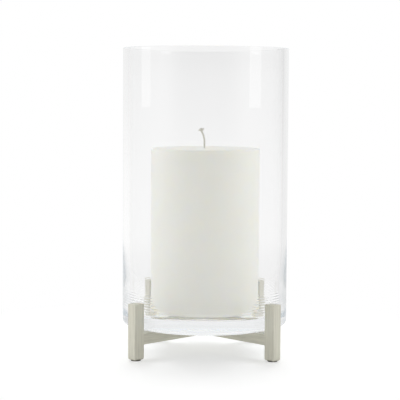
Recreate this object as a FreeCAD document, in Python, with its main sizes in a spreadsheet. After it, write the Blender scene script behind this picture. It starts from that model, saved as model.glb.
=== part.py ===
import FreeCAD, Part
import os
import Sketcher
from FreeCAD import Placement, Rotation, Vector

# Hurricane candle lantern: a heavy glass cylinder with a pillar candle in it, on a welded stand of two
# crossed bars and four posts. Millimetres, +Z up, origin on the table under the middle of the glass.

sizes = {
    # stand
    "pad_diameter": 9.0,
    "pad_thickness": 0.7,
    "pad_edge": 0.2,  # rounding of the pad's lower edge
    "bar_width": 9.4,  # across the bar, and across the post's outer face
    "bar_height": 10.1,
    "bar_underside": 14.3,  # above the table
    "post_depth": 11.0,  # from the post's inner face to its outer face
    "post_rise": 27.2,  # how far a post stands above the bars, round the foot of the glass
    "edge_radius": 0.5,  # eased edges of bars and posts
    "foot_radius": 1.8,  # lower edges of a post, round the pad
    "weld_radius": 1.3,  # hollow of the weld under a bar, where it meets its post
    "glass_gap": 4.4,  # from the glass to a post's inner face
    # candle
    "candle_diameter": 101.6,
    "candle_height": 152.4,
    "shoulder_radius": 1.8,  # upper edge
    "base_radius": 3.0,  # lower edge
    "dimple_diameter": 14.0,  # shallow dish round the wick
    "dimple_depth": 0.7,
    # glass, sized round the candle
    "candle_gap": 18.2,  # from the candle to the wall at the floor
    "foot_wall": 8.0,  # wall where it meets the floor
    "rim_wall": 5.5,  # wall at the rim and down to where it thickens
    "thickening_height": 66.0,  # above the floor, where the wall starts to thicken
    "glass_height": 257.2,
    "base_thickness": 12.5,
    "standing_ring": 2.2,  # width of the flat ring that the glass stands on
    "hollow_depth": 3.0,  # rise of the shallow dome inside that ring
    "heel_radius": 4.8,  # outer lower edge
    "floor_radius": 2.5,  # inner corner between wall and floor
    "rim_radius": 0.7,  # fire-polished edges
    # wick and the metal tab that holds its foot
    "wick_diameter": 1.9,
    "wick_straight": 6.0,  # above the bottom of the dish
    "wick_rise": 9.9,  # height of the bent stretch
    "wick_lean": 3.1,  # how far the tip leans to the left
    "wick_knob": 3.6,  # width of the frayed tip
    "tab_diameter": 20.0,
    "tab_sheet": 0.5,  # thickness of the disc and of its neck
    "tab_neck_height": 6.0,
    "wax_clearance": 0.1,  # round the wick and the tab
}

doc = FreeCAD.newDocument("HurricaneLantern")
sheet = doc.addObject("Spreadsheet::Sheet", "Sizes")
for row, (alias, number) in enumerate(sizes.items(), start=1):
    sheet.set(f"A{row}", alias)
    sheet.set(f"B{row}", str(number))
    sheet.setAlias(f"B{row}", alias)
doc.recompute()


class Length:
    # A number together with the sheet's expression for it, so one formula draws a shape and drives it.

    def __init__(self, value, text):
        self.value = value
        self.text = text

    def join(self, sign, other, value):
        text = other.text if isinstance(other, Length) else str(other)
        return Length(value, f"({self.text} {sign} {text})")

    def __add__(self, other):
        return self.join("+", other, self.value + number_of(other))

    def __sub__(self, other):
        return self.join("-", other, self.value - number_of(other))

    def __mul__(self, other):
        return self.join("*", other, self.value * number_of(other))

    def __truediv__(self, other):
        return self.join("/", other, self.value / number_of(other))

    def __neg__(self):
        return Length(-self.value, f"(0 - {self.text})")


def number_of(thing):
    return thing.value if isinstance(thing, Length) else thing


def least(first, second):
    return Length(min(first.value, second.value), f"min({first.text}; {second.text})")


def size(alias):
    return Length(float(sheet.get(alias)), f"Sizes.{alias}")


# Heights and radii that several pieces share
bar_half = size("bar_width") / 2
candle_radius = size("candle_diameter") / 2
foot_inner = candle_radius + size("candle_gap")
glass_radius = foot_inner + size("foot_wall")
post_inner = glass_radius + size("glass_gap")
post_middle = post_inner + size("post_depth") / 2
bar_top = size("bar_underside") + size("bar_height")
floor_height = bar_top + size("base_thickness")
wick_radius = size("wick_diameter") / 2
wick_hole = wick_radius + size("wax_clearance")
neck_radius = wick_hole + size("tab_sheet")
nothing = Length(0.0, "0")
tolerance = 0.01  # for finding an edge by its place
rim_share = 0.45  # the most of the wall that one rim edge's rounding may take
quarter_bulge = 1 - 0.5 ** 0.5  # how far a quarter circle stands out from its chord, as a share of its radius


def new_body(label):
    body = doc.addObject("PartDesign::Body", label)
    body.Label = label
    return body


def plane_of(body, role):
    return next(feature for feature in body.Origin.OriginFeatures if feature.Role == role)


def new_sketch(body, name, role, offset=None):
    sketch = body.newObject("Sketcher::SketchObject", name)
    sketch.AttachmentSupport = (plane_of(body, role), "")
    sketch.MapMode = "FlatFace"
    if offset is not None:
        sketch.setExpression("AttachmentOffset.Base.z", offset.text)
    return sketch


def bind(sketch, constraint, length):
    index = sketch.addConstraint(constraint)
    sketch.setExpression(f"Constraints[{index}]", length.text)


def pin_point(sketch, geometry, end, point):
    # Ties one end of a line or arc to a point given by two lengths.
    across, up = point
    if across is nothing:
        sketch.addConstraint(Sketcher.Constraint("PointOnObject", geometry, end, -2))
    else:
        bind(sketch, Sketcher.Constraint("DistanceX", -1, 1, geometry, end, across.value), across)
    if up is nothing:
        sketch.addConstraint(Sketcher.Constraint("PointOnObject", geometry, end, -1))
    else:
        bind(sketch, Sketcher.Constraint("DistanceY", -1, 1, geometry, end, up.value), up)


def draw_outline(sketch, points, bulges=None, smooth=()):
    # A closed outline through the points. A side is straight, or an arc where bulges gives, by the number of
    # the point that it starts from, how far its middle stands out to the left. Sides meet in a tangent at
    # the points numbered in smooth.
    spots = [Vector(across.value, up.value, 0) for across, up in points]
    sides = []
    for number, (start, end) in enumerate(zip(spots, spots[1:] + spots[:1])):
        if bulges and number in bulges:
            along = end - start
            outward = Vector(-along.y, along.x, 0).normalize()
            middle = (start + end) * 0.5 + outward * bulges[number].value
            side = sketch.addGeometry(Part.Arc(start, middle, end), False)
        else:
            side = sketch.addGeometry(Part.LineSegment(start, end), False)
        # An arc is stored counter-clockwise, so its first end is found by its place.
        first = 1 if sketch.getPoint(side, 1).distanceToPoint(start) < tolerance else 2
        sides.append((side, first, 3 - first))
    for number, point in enumerate(points):
        before, _, before_end = sides[number - 1]
        side, first, _ = sides[number]
        meeting = "Tangent" if number in smooth else "Coincident"
        sketch.addConstraint(Sketcher.Constraint(meeting, before, before_end, side, first))
        pin_point(sketch, side, first, point)
    return [side for side, _, _ in sides]


def draw_circle(sketch, radius, across=nothing):
    centre = Vector(across.value, 0, 0)
    circle = sketch.addGeometry(Part.Circle(centre, Vector(0, 0, 1), radius.value), False)
    pin_point(sketch, circle, 3, (across, nothing))
    bind(sketch, Sketcher.Constraint("Radius", circle, radius.value), radius)


def rectangle(low_x, high_x, low_y, high_y):
    return [(low_x, low_y), (high_x, low_y), (high_x, high_y), (low_x, high_y)]


def pad_up(body, sketch, height):
    pad = body.newObject("PartDesign::Pad", "Pad")
    pad.Profile = sketch
    pad.setExpression("Length", height.text)
    doc.recompute()
    return pad


def revolve(body, sketch):
    turned = body.newObject("PartDesign::Revolution", "Revolution")
    turned.Profile = sketch
    turned.ReferenceAxis = (sketch, ["V_Axis"])
    turned.Angle = 360
    doc.recompute()
    return turned


def round_edges(body, feature, radius, wanted):
    # Rounds the edges of a feature that the test picks out.
    names = [f"Edge{n}" for n, edge in enumerate(feature.Shape.Edges, start=1) if wanted(edge)]
    fillet = body.newObject("PartDesign::Fillet", "Fillet")
    fillet.Base = (feature, names)
    fillet.setExpression("Radius", radius.text)
    doc.recompute()
    return fillet


def ring_at(radius, height):
    # A test for the round edge of that radius and height.
    def wanted(edge):
        if edge.Degenerated or not isinstance(edge.Curve, Part.Circle):
            return False
        high = edge.Curve.Center.z
        return abs(edge.Curve.Radius - radius.value) < tolerance and abs(high - height.value) < tolerance

    return wanted


def turn_about_z(body, degrees):
    body.Placement = Placement(Vector(0, 0, 0), Rotation(Vector(0, 0, 1), degrees))


def lift(body, height):
    body.setExpression("Placement.Base.z", height.text)


def cross_bar(label, degrees, notch_on_top):
    # A bar from post to post, with half its height cut away in the middle where the other bar crosses.
    # Its underside runs down into each post in a small hollow weld.
    body = new_body(label)
    middle = size("bar_height") / 2
    top = size("bar_height")
    weld = size("weld_radius")
    weld_end = post_inner - weld
    outline = [(-post_inner, -weld), (-weld_end, nothing), (weld_end, nothing), (post_inner, -weld),
               (post_inner, top), (-post_inner, top)]
    last_weld = 2
    if notch_on_top:
        outline[5:5] = [(bar_half, top), (bar_half, middle), (-bar_half, middle), (-bar_half, top)]
    else:
        outline[2:2] = [(-bar_half, nothing), (-bar_half, middle), (bar_half, middle), (bar_half, nothing)]
        last_weld += 4
    quarter_arc = weld * quarter_bulge
    sketch = new_sketch(body, "SideOutline", "XZ_Plane")
    draw_outline(sketch, outline, {0: quarter_arc, last_weld: quarter_arc}, smooth=(1, last_weld))
    pad = body.newObject("PartDesign::Pad", "Pad")
    pad.Profile = sketch
    pad.setExpression("Length", size("bar_width").text)
    pad.Midplane = True
    doc.recompute()

    def long_edge(edge):
        box = edge.BoundBox
        along = box.XLength > size("bar_width").value
        outer_height = min(abs(box.ZMin), abs(box.ZMin - top.value)) < tolerance
        return along and outer_height

    round_edges(body, pad, size("edge_radius"), long_edge)
    turn_about_z(body, degrees)
    lift(body, size("bar_underside"))
    return body


def post(label, degrees):
    # A post as wide as the bar that meets its inner face; its side faces run flush with the bar's.
    body = new_body(label)
    sketch = new_sketch(body, "PlanOutline", "XY_Plane")
    outer = post_inner + size("post_depth")
    height = bar_top + size("post_rise") - size("pad_thickness")
    draw_outline(sketch, rectangle(post_inner, outer, -bar_half, bar_half))
    pad = pad_up(body, sketch, height)
    foot = round_edges(body, pad, size("foot_radius"), lambda edge: edge.BoundBox.ZMax < tolerance)

    def eased_edge(edge):
        box = edge.BoundBox
        on_top = box.ZMin > height.value - tolerance
        outer_upright = box.ZLength > size("bar_height").value and box.XMin > outer.value - tolerance
        return on_top or outer_upright

    round_edges(body, foot, size("edge_radius"), eased_edge)
    turn_about_z(body, degrees)
    lift(body, size("pad_thickness"))
    return body


def foot_pad(label, degrees):
    # A thin round pad stuck under the middle of a post.
    body = new_body(label)
    sketch = new_sketch(body, "PlanOutline", "XY_Plane")
    draw_circle(sketch, size("pad_diameter") / 2, post_middle)
    pad = pad_up(body, sketch, size("pad_thickness"))
    round_edges(body, pad, size("pad_edge"), ring_at(size("pad_diameter") / 2, nothing))
    turn_about_z(body, degrees)
    return body


def glass_cylinder(label):
    # A heavy cylinder with a thick base, hollowed a little underneath. The wall is even from the rim down,
    # then swells in a long double curve towards the floor.
    body = new_body(label)
    inner = glass_radius - size("rim_wall")
    floor = size("base_thickness")
    swell = floor + size("thickening_height")
    rim = size("glass_height")
    half_swell = (inner - foot_inner) / 2
    hollow_radius = glass_radius - size("heel_radius") - size("standing_ring")
    outline = [
        (nothing, size("hollow_depth")), (hollow_radius, nothing),
        (glass_radius, nothing), (glass_radius, rim), (inner, rim), (inner, swell),
        (inner - half_swell, floor + size("thickening_height") / 2), (foot_inner, floor), (nothing, floor),
    ]
    dome, upper_curve, lower_curve = 0, 5, 6
    bulges = {dome: size("hollow_depth") / 4, upper_curve: half_swell / 4, lower_curve: -half_swell / 4}
    sketch = new_sketch(body, "WallProfile", "XZ_Plane")
    sides = draw_outline(sketch, outline, bulges, smooth=(upper_curve, lower_curve))
    sketch.addConstraint(Sketcher.Constraint("PointOnObject", sides[dome], 3, -2))
    turned = revolve(body, sketch)
    heel = round_edges(body, turned, size("heel_radius"), ring_at(glass_radius, nothing))
    corner = round_edges(body, heel, size("floor_radius"), ring_at(foot_inner, floor))

    def rim_edge(edge):
        return edge.BoundBox.ZMin > rim.value - tolerance and isinstance(edge.Curve, Part.Circle)

    round_edges(body, corner, least(size("rim_radius"), size("rim_wall") * rim_share), rim_edge)
    lift(body, bar_top)
    return body


def pillar_candle(label):
    # Moulded wax with a shallow dish on top, bored for the wick and recessed underneath for the tab.
    body = new_body(label)
    radius = candle_radius
    top = size("candle_height")
    dish = size("dimple_diameter") / 2
    dish_floor = top - size("dimple_depth")
    tab_hole = size("tab_diameter") / 2 + size("wax_clearance")
    tab_top = size("tab_sheet") + size("wax_clearance")
    neck_hole = neck_radius + size("wax_clearance")
    neck_top = size("tab_neck_height") + size("wax_clearance")
    sketch = new_sketch(body, "HalfSection", "XZ_Plane")
    draw_outline(sketch, [
        (tab_hole, nothing), (radius, nothing), (radius, top), (dish, top), (wick_hole, dish_floor),
        (wick_hole, neck_top), (neck_hole, neck_top), (neck_hole, tab_top), (tab_hole, tab_top),
    ])
    turned = revolve(body, sketch)
    shoulder = round_edges(body, turned, size("shoulder_radius"), ring_at(radius, top))
    round_edges(body, shoulder, size("base_radius"), ring_at(radius, nothing))
    lift(body, floor_height)
    return body


def wick_tab(label):
    # A stamped disc with a neck that is crimped round the wick.
    body = new_body(label)
    disc = size("tab_diameter") / 2
    sheet_top = size("tab_sheet")
    neck_top = size("tab_neck_height")
    sketch = new_sketch(body, "HalfSection", "XZ_Plane")
    draw_outline(sketch, [
        (wick_hole, nothing), (disc, nothing), (disc, sheet_top), (neck_radius, sheet_top),
        (neck_radius, neck_top), (wick_hole, neck_top),
    ])
    revolve(body, sketch)
    lift(body, floor_height)
    return body


def wick(label):
    # Cotton from the tab up through the wax, straight at first and then bent over to the left.
    body = new_body(label)
    start_height = size("tab_sheet")
    bend_height = size("candle_height") - size("dimple_depth") + size("wick_straight")
    tip_height = bend_height + size("wick_rise")
    section = new_sketch(body, "Section", "XY_Plane", start_height)
    draw_circle(section, wick_radius)
    path = new_sketch(body, "Path", "XZ_Plane")
    low = Vector(0, start_height.value, 0)
    high = Vector(0, bend_height.value, 0)
    tip = Vector(-size("wick_lean").value, tip_height.value, 0)
    rise = size("wick_rise").value
    lean = size("wick_lean").value
    bend = (rise ** 2 + lean ** 2) / (2 * lean)
    sag = bend - (bend ** 2 - (rise / 2) ** 2) ** 0.5
    run = path.addGeometry(Part.LineSegment(low, high), False)
    curve = path.addGeometry(Part.Arc(high, Vector(-sag, high.y + rise / 2, 0), tip), False)
    low_end = 1 if abs(path.getPoint(curve, 1).y - high.y) < tolerance else 2
    pin_point(path, run, 1, (nothing, start_height))
    pin_point(path, run, 2, (nothing, bend_height))
    path.addConstraint(Sketcher.Constraint("Tangent", run, 2, curve, low_end))
    pin_point(path, curve, 3 - low_end, (-size("wick_lean"), tip_height))
    pipe = body.newObject("PartDesign::AdditivePipe", "Pipe")
    pipe.Profile = section
    pipe.Spine = (path, ["Edge1", "Edge2"])
    doc.recompute()
    knob = body.newObject("PartDesign::AdditiveSphere", "FrayedTip")
    knob.AttachmentSupport = (plane_of(body, "XY_Plane"), "")
    knob.MapMode = "FlatFace"
    knob.setExpression("Radius", (size("wick_knob") / 2).text)
    knob.setExpression("AttachmentOffset.Base.x", (-size("wick_lean")).text)
    knob.setExpression("AttachmentOffset.Base.z", tip_height.text)
    lift(body, floor_height)
    return body


first_diagonal = 45  # degrees
quarter_turn = 90

pieces = [
    cross_bar("lower_cross_bar", first_diagonal, True),
    cross_bar("upper_cross_bar", first_diagonal + quarter_turn, False),
    glass_cylinder("glass_cylinder"),
    pillar_candle("pillar_candle"),
    wick_tab("wick_tab"),
    wick("wick"),
]
# Posts stand on the two diagonals, a quarter turn apart; the front is towards -Y.
for quarter, corner in enumerate(("rear_right", "rear_left", "front_left", "front_right")):
    angle = first_diagonal + quarter * quarter_turn
    pieces.append(post(f"{corner}_post", angle))
    pieces.append(foot_pad(f"{corner}_foot_pad", angle))
doc.recompute()

failed = [thing.Label for thing in doc.Objects if "Invalid" in thing.State or "Error" in thing.State]
failed += [piece.Label for piece in pieces if piece.Shape.isNull() or not piece.Shape.isValid()]
if failed:
    raise SystemExit(f"not built: {failed}")

os.makedirs("parts", exist_ok=True)
for piece in pieces:
    piece.Shape.exportStep(f"parts/{piece.Label}.step")
    print(piece.Label, len(piece.Shape.Solids), round(piece.Shape.Volume, 1))
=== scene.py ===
import math

import bmesh
import bpy
from mathutils import Matrix, Vector, noise


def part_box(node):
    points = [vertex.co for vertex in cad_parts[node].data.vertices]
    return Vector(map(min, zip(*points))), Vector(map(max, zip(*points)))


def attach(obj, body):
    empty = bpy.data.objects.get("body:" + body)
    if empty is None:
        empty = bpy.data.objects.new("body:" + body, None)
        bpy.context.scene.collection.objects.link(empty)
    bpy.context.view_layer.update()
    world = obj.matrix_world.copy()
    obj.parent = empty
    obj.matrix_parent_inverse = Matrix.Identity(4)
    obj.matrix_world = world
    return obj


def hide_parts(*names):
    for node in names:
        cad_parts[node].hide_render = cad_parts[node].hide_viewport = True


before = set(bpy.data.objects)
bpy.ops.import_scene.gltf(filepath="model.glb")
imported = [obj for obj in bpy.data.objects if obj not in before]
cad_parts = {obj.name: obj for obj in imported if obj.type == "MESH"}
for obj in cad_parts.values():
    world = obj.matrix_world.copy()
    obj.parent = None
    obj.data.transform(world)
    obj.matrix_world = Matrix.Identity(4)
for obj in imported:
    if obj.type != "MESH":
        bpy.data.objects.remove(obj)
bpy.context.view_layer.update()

# Hurricane candle lantern: nickel stand, heavy clear glass, ivory pillar candle with a cotton wick.
mm = 0.001
fullTurn = 2 * math.pi
weldDistance = 0.002 * mm
cornerSegments = 16      # round each rounded corner of a turned profile
plainWhite = (1, 1, 1, 1)

# Sockets of the Mix node, which gives the same names to numbers and to colours
mixFactor, numberA, numberB, colourA, colourB = 0, 2, 3, 6, 7
mixedNumber, mixedColour = 0, 2
print("frame loaded:", len(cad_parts), "nodes")


def hexColour(code):
    # sRGB hex to the linear numbers that a shader socket takes
    channels = [int(code[n:n + 2], 16) / 255 for n in (1, 3, 5)]
    linear = [c / 12.92 if c <= 0.04045 else ((c + 0.055) / 1.055) ** 2.4 for c in channels]
    return (*linear, 1.0)


def addNode(tree, kind, settings=None, links=None):
    # A setting goes to the socket of that number or name, or else to the node's own property
    node = tree.nodes.new(kind)
    for name, value in (settings or {}).items():
        if isinstance(name, int) or name in node.inputs:
            node.inputs[name].default_value = value
        else:
            setattr(node, name, value)
    for name, source in (links or {}).items():
        tree.links.new(source, node.inputs[name])
    return node


def newMaterial(name):
    material = bpy.data.materials.new(name)
    material.use_nodes = True
    material.node_tree.nodes.clear()
    return material, material.node_tree


def newPiece(name, bm, material):
    mesh = bpy.data.meshes.new(name)
    bm.to_mesh(mesh)
    bm.free()
    mesh.shade_smooth()
    mesh.materials.append(material)
    piece = bpy.data.objects.new(name, mesh)
    bpy.context.scene.collection.objects.link(piece)
    return piece


def dressNode(name, material):
    # A CAD node keeps its shape and takes a finish
    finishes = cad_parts[name].data.materials
    finishes.clear()
    finishes.append(material)


def drawProfile(bm, corners, closed=False):
    # Half section in the XZ plane; each corner is (radius, height, rounding) in metres
    verts = [bm.verts.new((radius, 0, height)) for radius, height, rounding in corners]
    ends = verts[1:] + verts[:1] if closed else verts[1:]
    for start, end in zip(verts, ends):
        bm.edges.new((start, end))
    for vert, (radius, height, rounding) in zip(verts, corners):
        if rounding:
            bmesh.ops.bevel(bm, geom=[vert], offset=rounding, offset_type="OFFSET",
                            affect="VERTICES", segments=cornerSegments, profile=0.5, material=-1)


def splitLong(bm, edges, longest):
    # Cuts straight runs into short ones, so that shading stays true beside the rounded corners
    for edge in list(edges):
        cuts = math.ceil(edge.calc_length() / longest) - 1
        if cuts > 0:
            bmesh.ops.subdivide_edges(bm, edges=[edge], cuts=cuts)


def turnRound(bm, steps):
    bmesh.ops.spin(bm, geom=bm.verts[:] + bm.edges[:], axis=(0, 0, 1), cent=(0, 0, 0),
                   angle=fullTurn, steps=steps, use_merge=True)
    bmesh.ops.remove_doubles(bm, verts=bm.verts, dist=weldDistance)
    bmesh.ops.recalc_face_normals(bm, faces=bm.faces)


# Satin nickel plate over steel bar, brushed along its length: a soft warm grey sheen with fine
# straight lines
nickelFinish = {
    "colour": "#E2E0D3",
    "clouding": "#D7D5C6",       # faint uneven plating
    "cloudSize": 14 * mm,
    "streak": "#C9C7BA",         # painted shade in the hollow of a brush line; the lines themselves are real
    "lineShadeRange": (0.42, 0.72),  # of the noise, over which that painted shade comes in
    "lineWidth": 0.6 * mm,       # real brush lines are near 0.1 mm; drawn coarser so that they show
    "lineLength": 30 * mm,
    "lineDepth": 0.006 * mm,
    "lineStrength": 0.5,
    "roughness": (0.34, 0.50),
    "roughRange": (0.3, 0.7),    # of the noise, over which the sheen dulls
}


def satinNickel(name, along, degrees=0):
    # along is the axis that the brush lines follow, after the piece is turned about Z
    finish = nickelFinish
    across = 1 / finish["lineWidth"]
    stretch = [across, across, across]
    stretch["XYZ".index(along)] = 1 / finish["lineLength"]
    lineShadeLow, lineShadeHigh = finish["lineShadeRange"]
    roughLow, roughHigh = finish["roughRange"]
    smoothest, dullest = finish["roughness"]
    material, tree = newMaterial(name)
    place = addNode(tree, "ShaderNodeTexCoord")
    turned = addNode(tree, "ShaderNodeMapping", {"Rotation": (0, 0, math.radians(-degrees))},
                     {"Vector": place.outputs["Object"]})
    brushed = addNode(tree, "ShaderNodeMapping", {"Scale": stretch},
                      {"Vector": turned.outputs["Vector"]})
    lines = addNode(tree, "ShaderNodeTexNoise", {"Scale": 1.0, "Detail": 3.0, "Roughness": 0.6},
                    {"Vector": brushed.outputs["Vector"]})
    clouds = addNode(tree, "ShaderNodeTexNoise", {"Scale": 1 / finish["cloudSize"], "Detail": 2.0},
                     {"Vector": place.outputs["Object"]})
    colour = addNode(tree, "ShaderNodeMix",
                     {"data_type": "RGBA", colourA: hexColour(finish["colour"]),
                      colourB: hexColour(finish["clouding"])},
                     {mixFactor: clouds.outputs["Fac"]})
    # The brush lines are real; their darker colour is painted shade in their hollows
    lineShade = addNode(tree, "ShaderNodeMapRange", {"From Min": lineShadeLow, "From Max": lineShadeHigh},
                      {"Value": lines.outputs["Fac"]})
    streaked = addNode(tree, "ShaderNodeMix",
                       {"data_type": "RGBA", colourB: hexColour(finish["streak"])},
                       {mixFactor: lineShade.outputs["Result"],
                        colourA: colour.outputs[mixedColour]})
    rough = addNode(tree, "ShaderNodeMapRange",
                    {"From Min": roughLow, "From Max": roughHigh,
                     "To Min": smoothest, "To Max": dullest},
                    {"Value": lines.outputs["Fac"]})
    bump = addNode(tree, "ShaderNodeBump",
                   {"Strength": finish["lineStrength"], "Distance": finish["lineDepth"]},
                   {"Height": lines.outputs["Fac"]})
    metal = addNode(tree, "ShaderNodeBsdfPrincipled", {"Metallic": 1.0},
                    {"Base Color": streaked.outputs[mixedColour],
                     "Roughness": rough.outputs["Result"], "Normal": bump.outputs["Normal"]})
    addNode(tree, "ShaderNodeOutputMaterial", links={"Surface": metal.outputs["BSDF"]})
    return material


# Moulded nitrile rubber pad: dark grey, dull, with a fine moulded grain
rubberFinish = {
    "colour": "#565450",
    "worn": "#686660",
    "grain": 0.5 * mm,
    "grainDepth": 0.03 * mm,
    "grainStrength": 0.6,
    "roughness": 0.75,
    "ior": 1.52,
}


def mouldedRubber():
    finish = rubberFinish
    material, tree = newMaterial("mouldedRubber")
    place = addNode(tree, "ShaderNodeTexCoord")
    grain = addNode(tree, "ShaderNodeTexNoise", {"Scale": 1 / finish["grain"], "Detail": 4.0},
                    {"Vector": place.outputs["Object"]})
    colour = addNode(tree, "ShaderNodeMix",
                     {"data_type": "RGBA", colourA: hexColour(finish["colour"]),
                      colourB: hexColour(finish["worn"])},
                     {mixFactor: grain.outputs["Fac"]})
    bump = addNode(tree, "ShaderNodeBump",
                   {"Strength": finish["grainStrength"], "Distance": finish["grainDepth"]},
                   {"Height": grain.outputs["Fac"]})
    rubber = addNode(tree, "ShaderNodeBsdfPrincipled",
                     {"Roughness": finish["roughness"], "IOR": finish["ior"]},
                     {"Base Color": colour.outputs[mixedColour], "Normal": bump.outputs["Normal"]})
    addNode(tree, "ShaderNodeOutputMaterial", links={"Surface": rubber.outputs["BSDF"]})
    return material


# Tinned steel sheet, stamped: bright but dull grey, faintly streaked by the rollers
tinFinish = {
    "colour": "#C9CBCC",
    "streak": "#AEB1B3",
    "streakWidth": 0.8 * mm,
    "streakLength": 12 * mm,
    "roughness": 0.38,
}


def stampedTin():
    finish = tinFinish
    across, along = 1 / finish["streakWidth"], 1 / finish["streakLength"]
    material, tree = newMaterial("stampedTin")
    place = addNode(tree, "ShaderNodeTexCoord")
    rolled = addNode(tree, "ShaderNodeMapping", {"Scale": (across, along, across)},
                     {"Vector": place.outputs["Object"]})
    streaks = addNode(tree, "ShaderNodeTexNoise", {"Scale": 1.0, "Detail": 3.0},
                      {"Vector": rolled.outputs["Vector"]})
    colour = addNode(tree, "ShaderNodeMix",
                     {"data_type": "RGBA", colourA: hexColour(finish["colour"]),
                      colourB: hexColour(finish["streak"])},
                     {mixFactor: streaks.outputs["Fac"]})
    tin = addNode(tree, "ShaderNodeBsdfPrincipled",
                  {"Metallic": 1.0, "Roughness": finish["roughness"]},
                  {"Base Color": colour.outputs[mixedColour]})
    addNode(tree, "ShaderNodeOutputMaterial", links={"Surface": tin.outputs["BSDF"]})
    return material


# Soda-lime glass, mould-blown and fire-polished: colourless, a trace of blue-grey in its thickness.
# Lamps and diffuse light pass straight through, so that the candle inside is lit.
glassFinish = {
    "tint": "#FCFCFC",
    "ior": 1.52,
    "passes": "#FAFBFC",         # what one wall lets through to light the inside
    "depthColour": "#E7F1F8",    # the cast that its thickness gives
    "depthDensity": 1.0,         # per metre
}


def clearGlass():
    finish = glassFinish
    material, tree = newMaterial("clearGlass")
    rays = addNode(tree, "ShaderNodeLightPath")
    lightRay = addNode(tree, "ShaderNodeMath", {"operation": "MAXIMUM"},
                       {0: rays.outputs["Is Shadow Ray"], 1: rays.outputs["Is Diffuse Ray"]})
    glass = addNode(tree, "ShaderNodeBsdfPrincipled",
                    {"Base Color": hexColour(finish["tint"]), "Roughness": 0.0,
                     "IOR": finish["ior"], "Transmission Weight": 1.0})
    passing = addNode(tree, "ShaderNodeBsdfTransparent", {"Color": hexColour(finish["passes"])})
    both = addNode(tree, "ShaderNodeMixShader",
                   links={0: lightRay.outputs[0], 1: glass.outputs["BSDF"],
                          2: passing.outputs["BSDF"]})
    depth = addNode(tree, "ShaderNodeVolumeAbsorption",
                    {"Color": hexColour(finish["depthColour"]), "Density": finish["depthDensity"]})
    addNode(tree, "ShaderNodeOutputMaterial",
            links={"Surface": both.outputs["Shader"], "Volume": depth.outputs["Volume"]})
    return material


glassShape = {
    "rimWall": 5.5 * mm,
    "footWall": 8.0 * mm,        # the wall swells to this at the floor
    "swellHeight": 66 * mm,      # above the floor
    "baseThickness": 12.5 * mm,
    "heelRounding": 4.8 * mm,
    "floorRounding": 2.5 * mm,
    "rimRounding": 0.7 * mm,
    "rimCollar": 1.0 * mm,       # a short ring of faces under the rim, so that the wall shades true
    "standingRing": 2.2 * mm,    # the glass stands on this ring, with a shallow dome inside it
    "hollowDepth": 3.0 * mm,
    "restGap": 0.05 * mm,        # air between the glass and what it touches
    "rippleSpacing": 2.4 * mm,   # faint rings that the cold mould leaves in the lower wall
    "rippleDepth": 0.13 * mm,
    "rippleTop": 24 * mm,        # above the floor
    "rippleEven": 0.7,           # share of a ripple that runs evenly round the wall
    "ripplePatchy": 0.3,         # and that comes and goes
    "patchScale": 2,
    "rippleFaces": 0.4 * mm,     # height of a ring of faces in the ripples
    "lowerFaces": 2.5 * mm,      # in the rest of the base and swell
    "plainFaces": 12 * mm,       # in the plain upper wall
    "steps": 192,
}


def makeGlass():
    low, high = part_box("glass_cylinder")
    shape = glassShape
    outer = (high.x - low.x) / 2
    inner = outer - shape["rimWall"]
    ring = outer - shape["heelRounding"] - shape["standingRing"]
    bottom = low.z + shape["restGap"]
    floor = low.z + shape["baseThickness"] - shape["restGap"]
    swellTop = floor + shape["swellHeight"]
    rippleLow = floor + shape["floorRounding"]
    rippleTop = floor + shape["rippleTop"]
    collar = high.z - shape["rimCollar"]
    inset = shape["footWall"] - shape["rimWall"]
    bm = bmesh.new()
    drawProfile(bm, [(0, bottom, 0), (ring, bottom, 0), (outer, bottom, shape["heelRounding"]),
                     (outer, swellTop, 0), (outer, collar, 0),
                     (outer, high.z, shape["rimRounding"]), (inner, high.z, shape["rimRounding"]),
                     (inner, collar, 0), (inner, swellTop, 0), (inner, rippleTop, 0),
                     (inner, floor, shape["floorRounding"]), (0, floor, 0)])
    for edge in list(bm.edges):
        start, end = sorted((vert.co for vert in edge.verts), key=lambda place: place.z)
        if start.z > swellTop - mm:
            splitLong(bm, [edge], shape["plainFaces"])
        elif start.x < outer - mm and rippleLow - mm < start.z and end.z < rippleTop + mm:
            splitLong(bm, [edge], shape["rippleFaces"])
        else:
            splitLong(bm, [edge], shape["lowerFaces"])
    for vert in bm.verts:
        radius, height = vert.co.x, vert.co.z
        climb = (height - floor) / shape["swellHeight"]
        if height < floor - mm and radius < ring:      # the dome under the base
            vert.co.z += shape["hollowDepth"] * (1 - (radius / ring) ** 2)
        elif radius < outer - mm and climb < 1:        # the double curve of the swell
            swell = 1 - 2 * climb ** 2 if climb < 0.5 else 2 * (1 - climb) ** 2
            vert.co.x -= inset * swell * radius / inner
    turnRound(bm, shape["steps"])
    for vert in bm.verts:
        away = Vector((vert.co.x, vert.co.y, 0))
        climb = (vert.co.z - rippleLow) / (rippleTop - rippleLow)
        if 0 < climb < 1 and away.length < outer - mm:
            away.normalize()
            patches = shape["ripplePatchy"] * noise.noise(shape["patchScale"] * away)
            strength = math.sin(math.pi * climb) * (shape["rippleEven"] + patches)
            wave = math.sin(fullTurn * vert.co.z / shape["rippleSpacing"])
            vert.co += away * shape["rippleDepth"] * strength * wave
    piece = newPiece("glassCylinder", bm, clearGlass())
    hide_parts("glass_cylinder")
    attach(piece, "glass")
    print("glass turned:", len(piece.data.polygons), "faces")


# Poured paraffin and stearin wax, ivory, smooth from its mould: light sinks in a few millimetres
waxFinish = {
    "colour": "#F5F3EB",
    "mottle": "#F1EFE5",
    "mottleSize": 16 * mm,
    "grain": 0.9 * mm,
    "grainDepth": 0.03 * mm,
    "grainStrength": 0.4,
    "lightDepth": 3.5 * mm,
    "lightSpread": (1.0, 0.9, 0.7),  # red light goes furthest
    "roughness": 0.46,
    "ior": 1.44,
}


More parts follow.
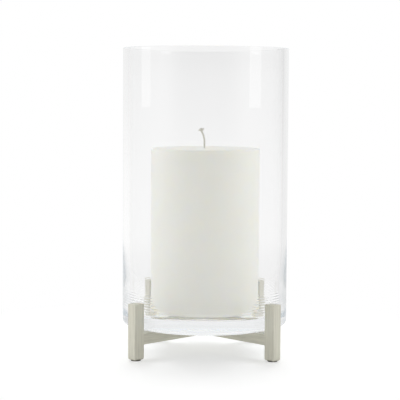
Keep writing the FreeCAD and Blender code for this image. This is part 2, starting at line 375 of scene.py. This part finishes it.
def ivoryWax():
    finish = waxFinish
    material, tree = newMaterial("ivoryWax")
    place = addNode(tree, "ShaderNodeTexCoord")
    mottle = addNode(tree, "ShaderNodeTexNoise",
                     {"Scale": 1 / finish["mottleSize"], "Detail": 3.0},
                     {"Vector": place.outputs["Object"]})
    grain = addNode(tree, "ShaderNodeTexNoise", {"Scale": 1 / finish["grain"], "Detail": 4.0},
                    {"Vector": place.outputs["Object"]})
    colour = addNode(tree, "ShaderNodeMix",
                     {"data_type": "RGBA", colourA: hexColour(finish["colour"]),
                      colourB: hexColour(finish["mottle"])},
                     {mixFactor: mottle.outputs["Fac"]})
    bump = addNode(tree, "ShaderNodeBump",
                   {"Strength": finish["grainStrength"], "Distance": finish["grainDepth"]},
                   {"Height": grain.outputs["Fac"]})
    wax = addNode(tree, "ShaderNodeBsdfPrincipled",
                  {"Roughness": finish["roughness"], "IOR": finish["ior"],
                   "Subsurface Weight": 1.0, "Subsurface Radius": finish["lightSpread"],
                   "Subsurface Scale": finish["lightDepth"]},
                  {"Base Color": colour.outputs[mixedColour], "Normal": bump.outputs["Normal"]})
    addNode(tree, "ShaderNodeOutputMaterial", links={"Surface": wax.outputs["BSDF"]})
    return material


candleShape = {
    "shoulder": 1.8 * mm,
    "baseRounding": 3.0 * mm,
    "dishRadius": 7.0 * mm,
    "dishDepth": 0.7 * mm,
    "dishRounding": 0.5 * mm,
    "wickHole": 1.05 * mm,
    "holeMargin": 0.1 * mm,      # what lies within this of the wick hole drifts with it
    "wickDrift": 1.0 * mm,       # the wick comes out this far left of the middle
    "neckHole": 1.65 * mm,
    "neckTop": 6.1 * mm,
    "tabHole": 10.1 * mm,
    "tabTop": 0.6 * mm,
    "floorGap": 0.1 * mm,        # air under the wax, which never lies quite flat on the glass
    "unevenness": 0.12 * mm,     # a poured candle is never quite true
    "unevenSize": 30 * mm,
    "unevenFrom": 5 * mm,        # above the foot
    "ringSpacing": 3.5 * mm,
    "steps": 160,
}


def makeCandle():
    low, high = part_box("pillar_candle")
    radius = (high.x - low.x) / 2
    shape = candleShape
    bottom = low.z + shape["floorGap"]
    dish = high.z - shape["dishDepth"]
    neckTop = low.z + shape["neckTop"]
    tabTop = low.z + shape["tabTop"]
    bm = bmesh.new()
    drawProfile(bm, [(shape["tabHole"], bottom, 0), (radius, bottom, shape["baseRounding"]),
                     (radius, high.z, shape["shoulder"]),
                     (shape["dishRadius"], high.z, shape["dishRounding"]),
                     (shape["wickHole"], dish, 0), (shape["wickHole"], neckTop, 0),
                     (shape["neckHole"], neckTop, 0), (shape["neckHole"], tabTop, 0),
                     (shape["tabHole"], tabTop, 0)], closed=True)
    splitLong(bm, bm.edges, shape["ringSpacing"])
    turnRound(bm, shape["steps"])
    for vert in bm.verts:
        away = Vector((vert.co.x, vert.co.y, 0))
        if away.length < shape["wickHole"] + shape["holeMargin"]:
            vert.co.x -= shape["wickDrift"] * (vert.co.z - low.z) / (high.z - low.z)
        elif away.length > shape["tabHole"] and vert.co.z > low.z + shape["unevenFrom"]:
            lump = noise.noise(vert.co / shape["unevenSize"])
            vert.co -= away.normalized() * shape["unevenness"] * (0.5 + 0.5 * lump)
    piece = newPiece("pillarCandle", bm, ivoryWax())
    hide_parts("pillar_candle")
    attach(piece, "candle")
    print("candle turned:", len(piece.data.polygons), "faces")


# Braided cotton, stiffened with wax: off-white, dull, with fine fibres
cottonFinish = {
    "colour": "#ECEAE0",
    "fibre": "#D2CFC3",
    "fibreWidth": 0.25 * mm,
    "fibreLength": 2.5 * mm,
    "fibreDepth": 0.08 * mm,
    "fibreStrength": 0.5,
    "roughness": 0.85,
    "sheen": 0.2,
}


def braidedCotton():
    finish = cottonFinish
    across, along = 1 / finish["fibreWidth"], 1 / finish["fibreLength"]
    material, tree = newMaterial("braidedCotton")
    place = addNode(tree, "ShaderNodeTexCoord")
    drawn = addNode(tree, "ShaderNodeMapping", {"Scale": (across, across, along)},
                    {"Vector": place.outputs["Object"]})
    fibres = addNode(tree, "ShaderNodeTexNoise", {"Scale": 1.0, "Detail": 4.0},
                     {"Vector": drawn.outputs["Vector"]})
    colour = addNode(tree, "ShaderNodeMix",
                     {"data_type": "RGBA", colourA: hexColour(finish["colour"]),
                      colourB: hexColour(finish["fibre"])},
                     {mixFactor: fibres.outputs["Fac"]})
    bump = addNode(tree, "ShaderNodeBump",
                   {"Strength": finish["fibreStrength"], "Distance": finish["fibreDepth"]},
                   {"Height": fibres.outputs["Fac"]})
    cotton = addNode(tree, "ShaderNodeBsdfPrincipled",
                     {"Roughness": finish["roughness"], "Sheen Weight": finish["sheen"]},
                     {"Base Color": colour.outputs[mixedColour], "Normal": bump.outputs["Normal"]})
    addNode(tree, "ShaderNodeOutputMaterial", links={"Surface": cotton.outputs["BSDF"]})
    return material


wickShape = {
    "diameter": 1.9 * mm,
    "straight": 6.0 * mm,        # above the dish
    "rise": 9.9 * mm,            # of the bent part
    "lean": 2.5 * mm,
    "strands": 3,
    "strandWidth": 1.05 * mm,
    "strandSides": 8,
    "twistLength": 7.0 * mm,     # one full turn of the lay
    "step": 0.5 * mm,
    "stepFrom": 2.0 * mm,        # under the dish
    "hiddenStep": 1.75 * mm,     # inside the wax
    "tufts": ((-2.4, 1.0), (-1.4, 2.3), (0.2, 2.5),     # mm across and up
              (1.7, 2.2), (2.7, 1.6), (2.3, 0.6)),
    "tuftFibres": 6,
    "fibreWidth": 0.45 * mm,
    "fibreSides": 5,
    "fibreSteps": 5,
    "fibreShorter": 0.04,        # share by which each fibre of a tuft falls short of the one before
    "fibreSpread": 0.9 * mm,     # of the ends in a tuft
    "fanSpread": 0.5,            # share of that in the plane of the fan
    "onward": 1.6 * mm,          # along the wick, before a fibre turns aside
    "rootRadius": 0.45 * mm,     # where the fibres start, inside the wick
    "rootDepth": 0.27 * mm,
    "turnStep": 137.5,           # degrees round the wick from one fibre to the next
}


def bendRadius():
    rise, lean = wickShape["rise"], wickShape["lean"]
    return (rise ** 2 + lean ** 2) / (2 * lean)


def wickPlace(height, waxLow, waxTop):
    # Where the middle of the wick is, and how it is turned: upright, then bent over to the left
    straightEnd = waxTop + wickShape["straight"]
    drift = candleShape["wickDrift"] * min(1, (height - waxLow) / (waxTop - waxLow))
    bend = bendRadius()
    angle = max(0, height - straightEnd) / bend
    middle = Vector((bend * (math.cos(angle) - 1) - drift, 0,
                     min(height, straightEnd) + bend * math.sin(angle)))
    return Matrix.Translation(middle) @ Matrix.Rotation(-angle, 4, "Y")


def layYarn(bm, segments, radius, places):
    # A round yarn drawn through the places, closed at both ends
    ring = bmesh.ops.create_circle(bm, cap_ends=True, segments=segments, radius=radius)["verts"]
    foot = list(ring[0].link_faces[0].edges)
    last = Matrix()
    for number, place in enumerate(places):
        if number:
            cap = next(face for face in ring[0].link_faces if len(face.verts) == segments)
            ring = list(bmesh.ops.extrude_discrete_faces(bm, faces=[cap])["faces"][0].verts)
        bmesh.ops.transform(bm, matrix=place @ last.inverted(), verts=ring)
        last = place
    bmesh.ops.holes_fill(bm, edges=foot, sides=segments)


def frayTip(bm, tip):
    # Cut ends of the yarn, in a fan of tufts that leave along the wick and then turn aside
    shape = wickShape
    onward = tip.to_3x3() @ Vector((0, 0, shape["onward"]))
    for tuft, (across, up) in enumerate(shape["tufts"]):
        for fibre in range(shape["tuftFibres"]):
            turn = math.radians(shape["turnStep"]) * (fibre + tuft / len(shape["tufts"]))
            aside = Vector((math.cos(turn), math.sin(turn), 0))
            root = tip @ (aside * shape["rootRadius"] - Vector((0, 0, shape["rootDepth"])))
            reach = shape["fibreSpread"] * math.sqrt(fibre / shape["tuftFibres"])
            inFan = shape["fanSpread"] * aside.x
            end = Vector((across, 0, up)) * mm * (1 - shape["fibreShorter"] * fibre)
            end += Vector((inFan, aside.y, inFan)) * reach
            places = []
            for step in range(shape["fibreSteps"] + 1):
                way = step / shape["fibreSteps"]
                middle = root + end * way ** 2 + onward * way * (1 - way / 2)
                heading = end * 2 * way + onward * (1 - way)
                turned = heading.to_track_quat("Z", "Y").to_matrix().to_4x4()
                places.append(Matrix.Translation(middle) @ turned)
            layYarn(bm, shape["fibreSides"], shape["fibreWidth"] / 2, places)


def makeWick():
    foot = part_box("wick")[0].z
    waxLow, waxHigh = (corner.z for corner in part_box("pillar_candle"))
    shape = wickShape
    waxTop = waxHigh - candleShape["dishDepth"]
    bend = bendRadius()
    top = waxTop + shape["straight"] + bend * math.asin(shape["rise"] / bend)
    heights = [foot]
    while heights[-1] < top:
        shown = heights[-1] > waxTop - shape["stepFrom"]
        heights.append(heights[-1] + (shape["step"] if shown else shape["hiddenStep"]))
    radius = shape["strandWidth"] / 2
    offset = shape["diameter"] / 2 - radius
    bm = bmesh.new()
    for strand in range(shape["strands"]):
        places = []
        for height in heights:
            lay = fullTurn * (height / shape["twistLength"] + strand / shape["strands"])
            beside = Matrix.Translation((offset * math.cos(lay), offset * math.sin(lay), 0))
            places.append(wickPlace(height, waxLow, waxTop) @ beside)
        layYarn(bm, shape["strandSides"], radius, places)
    frayTip(bm, wickPlace(heights[-1], waxLow, waxTop))
    bmesh.ops.recalc_face_normals(bm, faces=bm.faces)
    piece = newPiece("braidedWick", bm, braidedCotton())
    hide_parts("wick")
    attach(piece, "candle")
    print("wick laid:", len(piece.data.polygons), "faces")


barTurns = {"lower_cross_bar": 45, "upper_cross_bar": 135}  # degrees


def dressStand():
    upright = satinNickel("satinNickelPost", "Z")
    padRubber = mouldedRubber()
    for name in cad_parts:
        if name.endswith("_post"):
            dressNode(name, upright)
        elif name.endswith("_foot_pad"):
            dressNode(name, padRubber)
    for name, degrees in barTurns.items():
        dressNode(name, satinNickel("satinNickel" + str(degrees), "X", degrees))
    dressNode("wick_tab", stampedTin())
    print("stand dressed")


# Lengths in metres; a Turn runs between two directions, each given as one part of a unit vector
studio = {
    "floorColour": "#E4E4E3",
    "floorRadius": 1.5,
    "floorSides": 96,
    "floorGlow": 0.37,           # lifts the floor towards white, and the object from below
    "metalShare": 0.44,          # how much of that glow the metal mirrors
    "floorLift": 0.08,           # how far the object's shadow is filled in
    "floorFade": (0.08, 0.30),   # between these distances the sweep becomes plain white
    "nearFloorShade": 0.95,           # the sweep close by, as it is seen in the glass: painted shade for the object's shadow there
    "nearFade": (0.30, 0.95),
    "rightSweepShade": 0.87,          # painted shade: the sweep is darker at the right, as the glass mirrors it, for a dimmer side of the studio
    "rightFade": (-0.4, 0.4),
    "fillFront": 0.62,           # how much light comes from the camera's side of the studio
    "fillSides": 2.55,           # and from both sides
    "fillTurn": (-1.0, 0.0),
    "fillRear": 0.08,            # share of that light straight behind the object
    "rearTurn": (0.1, 0.9),
    "fillGround": 0.25,          # share of it from below, past the edge of the sweep
    "groundTurn": (-0.14, -0.10),
    "fillUp": 0.15,              # share of it overhead
    "upTurn": (0.05, 0.75),
    "leftLevel": 0.85,           # the room as glass and metal mirror it
    "rightLevel": 0.64,
    "sideTurn": (-0.7, 0.7),
    "frontLevel": 0.30,          # dim behind the camera
    "frontTurn": (-0.40, -0.95),
    "backLevel": 0.90,
    "backTurn": (0.60, 0.95),
    "topLevel": 1.0,             # the white ceiling, which lights the rim
    "topTurn": (0.15, 0.55),
    "sweepTurn": (-0.4, 0.4),    # from left to right in the sweep's far part
    "horizonTurn": (-0.10, 0.05),  # from that sweep up to the room
    "backdropTop": 0.97,         # the backdrop above the object, as it is seen through the glass
    "backdropTurn": (0.01, 0.035),
}


def makeFloor():
    bm = bmesh.new()
    bmesh.ops.create_circle(bm, cap_ends=True, segments=studio["floorSides"],
                            radius=studio["floorRadius"])
    material, tree = newMaterial("paperSweep")
    place = addNode(tree, "ShaderNodeTexCoord")
    split = addNode(tree, "ShaderNodeSeparateXYZ", links={"Vector": place.outputs["Object"]})
    away = addNode(tree, "ShaderNodeVectorMath", {"operation": "LENGTH"},
                   {0: place.outputs["Object"]})
    rays = addNode(tree, "ShaderNodeLightPath")
    seen = addNode(tree, "ShaderNodeMath", {"operation": "MAXIMUM"},
                   {0: rays.outputs["Is Camera Ray"], 1: rays.outputs["Is Transmission Ray"]})

    # Near the object: paper with its shadow, and a glow for the eye, the metal and the bounce
    share = addNode(tree, "ShaderNodeMath", {"operation": "MULTIPLY", 1: studio["metalShare"]},
                    {0: rays.outputs["Is Glossy Ray"]})
    bounced = addNode(tree, "ShaderNodeMath", {"operation": "MAXIMUM"},
                      {0: share.outputs[0], 1: rays.outputs["Is Diffuse Ray"]})
    lifted = addNode(tree, "ShaderNodeMath", {"operation": "MAXIMUM"},
                     {0: seen.outputs[0], 1: bounced.outputs[0]})
    lift = addNode(tree, "ShaderNodeMath", {"operation": "MULTIPLY", 1: studio["floorGlow"]},
                   {0: lifted.outputs[0]})
    paper = addNode(tree, "ShaderNodeBsdfDiffuse", {"Color": hexColour(studio["floorColour"])})
    glow = addNode(tree, "ShaderNodeEmission", {"Color": plainWhite},
                   {"Strength": lift.outputs[0]})
    near = addNode(tree, "ShaderNodeAddShader",
                   links={0: paper.outputs["BSDF"], 1: glow.outputs["Emission"]})

    # How white the plain sweep is, seen through the glass or mirrored in it: painted darker close
    # by, for the object's shadow, and at the right, for a dimmer side of the studio
    start, end = studio["nearFade"]
    nearShade = addNode(tree, "ShaderNodeMapRange",
                     {"From Min": start, "From Max": end, "To Min": studio["nearFloorShade"]},
                     {"Value": away.outputs["Value"]})
    through = addNode(tree, "ShaderNodeMix", {"data_type": "FLOAT", numberA: 1.0},
                      {mixFactor: rays.outputs["Is Transmission Ray"],
                       numberB: nearShade.outputs["Result"]})
    # Painted shade: the sweep darker at the right, as the glass mirrors it
    start, end = studio["rightFade"]
    rightShade = addNode(tree, "ShaderNodeMapRange",
                        {"interpolation_type": "SMOOTHSTEP", "From Min": start, "From Max": end,
                         "To Min": 1.0, "To Max": studio["rightSweepShade"]},
                        {"Value": split.outputs["X"]})
    dimmer = addNode(tree, "ShaderNodeMath", {"operation": "MULTIPLY"},
                     {0: nearShade.outputs["Result"], 1: rightShade.outputs["Result"]})
    turned = addNode(tree, "ShaderNodeMath", {"operation": "GREATER_THAN", 1: 0.5},
                     {0: rays.outputs["Glossy Depth"]})      # mirrored at least once
    mirrored = addNode(tree, "ShaderNodeMath", {"operation": "MULTIPLY"},
                       {0: turned.outputs[0], 1: rays.outputs["Is Singular Ray"]})
    level = addNode(tree, "ShaderNodeMix", {"data_type": "FLOAT"},
                    {mixFactor: mirrored.outputs[0], numberA: through.outputs[mixedNumber],
                     numberB: dimmer.outputs[0]})
    white = addNode(tree, "ShaderNodeEmission", {"Color": plainWhite},
                    {"Strength": level.outputs[mixedNumber]})

    # From the one to the other
    start, end = studio["floorFade"]
    fade = addNode(tree, "ShaderNodeMapRange",
                   {"interpolation_type": "SMOOTHSTEP", "From Min": start, "From Max": end,
                    "To Min": studio["floorLift"]}, {"Value": away.outputs["Value"]})
    seenToo = addNode(tree, "ShaderNodeMath", {"operation": "MAXIMUM"},
                      {0: seen.outputs[0], 1: rays.outputs["Is Glossy Ray"]})
    whiter = addNode(tree, "ShaderNodeMath", {"operation": "MULTIPLY"},
                     {0: fade.outputs["Result"], 1: seenToo.outputs[0]})
    plain = addNode(tree, "ShaderNodeMath", {"operation": "MAXIMUM"},
                    {0: whiter.outputs[0], 1: mirrored.outputs[0]})
    sweep = addNode(tree, "ShaderNodeMixShader",
                    links={0: plain.outputs[0], 1: near.outputs["Shader"],
                           2: white.outputs["Emission"]})
    addNode(tree, "ShaderNodeOutputMaterial", links={"Surface": sweep.outputs["Shader"]})
    floor = newPiece("paperSweep", bm, material)
    print("floor laid")


def makeRoom():
    # White to the camera; what lights the object and what it mirrors differ from that
    world = bpy.data.worlds.new("studioRoom")
    world.use_nodes = True
    tree = world.node_tree
    tree.nodes.clear()
    way = addNode(tree, "ShaderNodeTexCoord")
    parts = addNode(tree, "ShaderNodeSeparateXYZ", links={"Vector": way.outputs["Generated"]})
    rays = addNode(tree, "ShaderNodeLightPath")
    ramps = {
        "fill": ("Y", studio["fillFront"], studio["fillSides"], "LINEAR"),
        "rear": ("Y", 1.0, studio["fillRear"], "LINEAR"),
        "up": ("Z", 1.0, studio["fillUp"], "SMOOTHSTEP"),
        "ground": ("Z", studio["fillGround"], 1.0, "SMOOTHSTEP"),
        "side": ("X", studio["leftLevel"], studio["rightLevel"], "SMOOTHSTEP"),
        "front": ("Y", 0.0, 1.0, "SMOOTHSTEP"),
        "back": ("Y", 0.0, 1.0, "SMOOTHSTEP"),
        "top": ("Z", 0.0, 1.0, "SMOOTHSTEP"),
        "sweep": ("X", 1.0, studio["rightSweepShade"], "SMOOTHSTEP"),
        "horizon": ("Z", 0.0, 1.0, "SMOOTHSTEP"),
        "backdrop": ("Z", 1.0, studio["backdropTop"], "SMOOTHSTEP"),
    }
    turns = {}
    for name, (axis, low, high, kind) in ramps.items():
        start, end = studio[name + "Turn"]
        ramp = addNode(tree, "ShaderNodeMapRange",
                       {"interpolation_type": kind, "From Min": start, "From Max": end,
                        "To Min": low, "To Max": high}, {"Value": parts.outputs[axis]})
        turns[name] = ramp.outputs["Result"]
    lit = turns["fill"]
    for name in ("rear", "up", "ground"):
        trimmed = addNode(tree, "ShaderNodeMath", {"operation": "MULTIPLY"},
                          {0: lit, 1: turns[name]})
        lit = trimmed.outputs[0]
    room = turns["side"]
    for name in ("front", "back", "top"):
        joined = addNode(tree, "ShaderNodeMix",
                         {"data_type": "FLOAT", numberB: studio[name + "Level"]},
                         {mixFactor: turns[name], numberA: room})
        room = joined.outputs[mixedNumber]
    mirrored = addNode(tree, "ShaderNodeMix", {"data_type": "FLOAT"},
                       {mixFactor: turns["horizon"], numberA: turns["sweep"], numberB: room})
    bounced = addNode(tree, "ShaderNodeMath", {"operation": "GREATER_THAN", 1: 0.5},
                      {0: rays.outputs["Glossy Depth"]})     # mirrored at least once
    seen = addNode(tree, "ShaderNodeMix", {"data_type": "FLOAT"},
                   {mixFactor: bounced.outputs[0], numberA: turns["backdrop"],
                    numberB: mirrored.outputs[mixedNumber]})
    level = addNode(tree, "ShaderNodeMix", {"data_type": "FLOAT"},
                    {mixFactor: rays.outputs["Is Diffuse Ray"],
                     numberA: seen.outputs[mixedNumber], numberB: lit})
    shown = addNode(tree, "ShaderNodeMix", {"data_type": "FLOAT", numberB: 1.0},
                    {mixFactor: rays.outputs["Is Camera Ray"],
                     numberA: level.outputs[mixedNumber]})
    white = addNode(tree, "ShaderNodeBackground", {"Color": plainWhite},
                    {"Strength": shown.outputs[mixedNumber]})
    addNode(tree, "ShaderNodeOutputWorld", links={"Surface": white.outputs["Background"]})
    bpy.context.scene.world = world
    print("room lit")


softboxes = {
    "left": {"place": (-0.95, -0.05, 0.62), "aim": (0, 0, 0.62),
             "width": 0.28, "height": 0.80, "radiance": 0.85},
    "right": {"place": (0.85, -0.33, 0.62), "aim": (0, 0, 0.62),
              "width": 0.30, "height": 0.80, "radiance": 1.0},
    "rear": {"place": (0, 2.22, 3.37), "aim": (0, 0, 0.10),
             "width": 2.70, "height": 2.10, "radiance": 5.5},
}


def makeLights():
    for name, box in softboxes.items():
        lamp = bpy.data.lights.new(name + "Softbox", "AREA")
        lamp.shape = "RECTANGLE"
        lamp.size = box["width"]
        lamp.size_y = box["height"]
        lamp.energy = box["radiance"] * math.pi * box["width"] * box["height"]  # watts
        holder = bpy.data.objects.new(name + "Softbox", lamp)
        holder.location = box["place"]
        facing = Vector(box["aim"]) - holder.location
        holder.rotation_euler = facing.to_track_quat("-Z", "Y").to_euler()
        holder.visible_camera = False
        holder.visible_glossy = name != "rear"      # only the side ones gleam in glass and metal
        holder.visible_transmission = False
        bpy.context.scene.collection.objects.link(holder)
    print("softboxes hung")


cameraSetup = {
    "place": (0.0, -1.25084, 0.23774),
    "tiltDown": 4.4499,          # degrees, as are the next two
    "panLeft": 0.2204,
    "roll": 0.3443,
    "lens": 120.443,             # mm
    "sensor": 36.0,              # mm
}


def makeCamera():
    data = bpy.data.cameras.new("camera")
    data.lens = cameraSetup["lens"]
    data.sensor_width = cameraSetup["sensor"]
    camera = bpy.data.objects.new("camera", data)
    turn = Matrix.Rotation(math.radians(cameraSetup["panLeft"]), 4, "Z")
    tilt = Matrix.Rotation(math.radians(90 - cameraSetup["tiltDown"]), 4, "X")
    roll = Matrix.Rotation(math.radians(cameraSetup["roll"]), 4, "Z")
    camera.matrix_world = Matrix.Translation(cameraSetup["place"]) @ turn @ tilt @ roll
    bpy.context.scene.collection.objects.link(camera)
    bpy.context.scene.camera = camera
    print("camera placed")


makeGlass()
makeCandle()
makeWick()
dressStand()
makeFloor()
makeRoom()
makeLights()
makeCamera()
bpy.context.scene.view_settings.view_transform = "Standard"
lightBounces = 500       # light goes to and fro many times in the thick base
for name in ("max_bounces", "glossy_bounces", "transmission_bounces"):
    setattr(bpy.context.scene.cycles, name, lightBounces)
